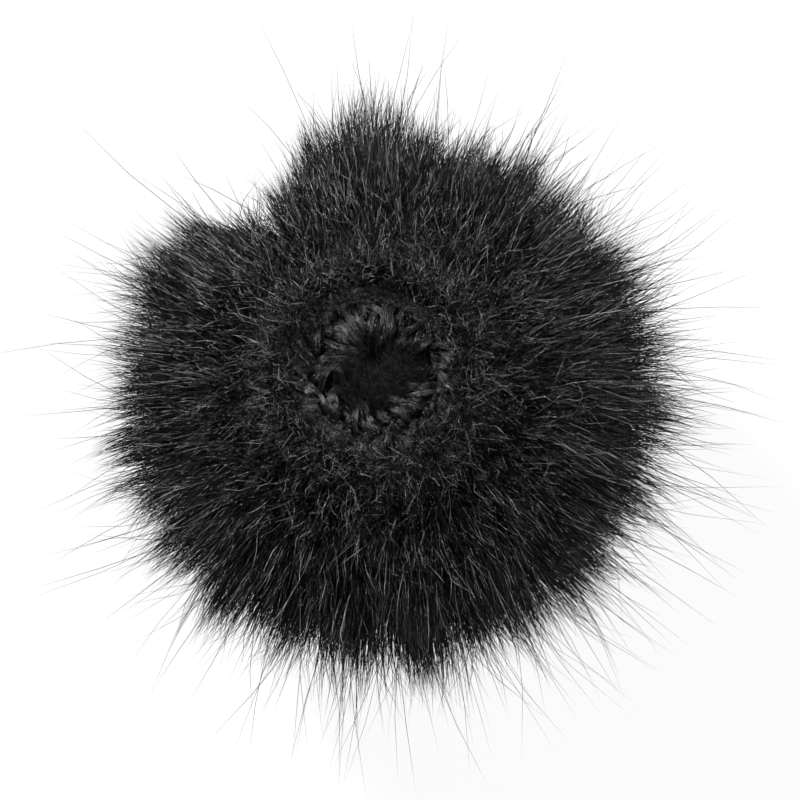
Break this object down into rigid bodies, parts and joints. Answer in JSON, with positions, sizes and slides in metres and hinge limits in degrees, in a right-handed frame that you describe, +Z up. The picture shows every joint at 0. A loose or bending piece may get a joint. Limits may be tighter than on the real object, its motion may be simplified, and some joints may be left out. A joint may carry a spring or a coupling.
{
  "type": "furry microphone windscreen",
  "caption": "Small round furry windscreen: a ball of long black pile on a sewn knit cover round a foam core, with an elastic mouth and a blind bore for a lapel microphone.",
  "frame": {"origin": "middle of the mouth, level with the top of the rolled hem, on the axis of the microphone bore", "axes": "+Z up along the bore and out of the mouth; the closed crown is at the bottom; the side seam is at 124 degrees from +X towards +Y"},
  "size_m": [0.032, 0.032, 0.0295],
  "materials": {
    "guard_hair": "long tapering acrylic pile, nearly black, silky",
    "underfur": "short dense crimped acrylic pile, black",
    "knit": "black warp-knit ground, matt",
    "thread": "black polyester sewing thread",
    "elastic": "black covered cord elastic",
    "cropped_pile": "pile cut short, blunt tufts, dark grey at the cut",
    "foam": "black open-cell polyurethane foam"
  },
  "bodies": {
    "root": {"guard_hair_pile": "guard_hair", "underfur_pile": "underfur", "knit_backing": "knit", "side_seam_allowance_left": "knit", "side_seam_allowance_right": "knit", "side_seam_stitches": "thread", "crown_gather": "knit", "crown_gather_thread": "thread", "crown_thread_knot": "thread", "mouth_hem": "knit", "hem_stitches": "thread", "mouth_elastic": "elastic", "elastic_knot": "elastic", "throat_fuzz": "cropped_pile", "mouth_tufts": "cropped_pile", "foam_core": "foam"}
  },
  "joints": []
}
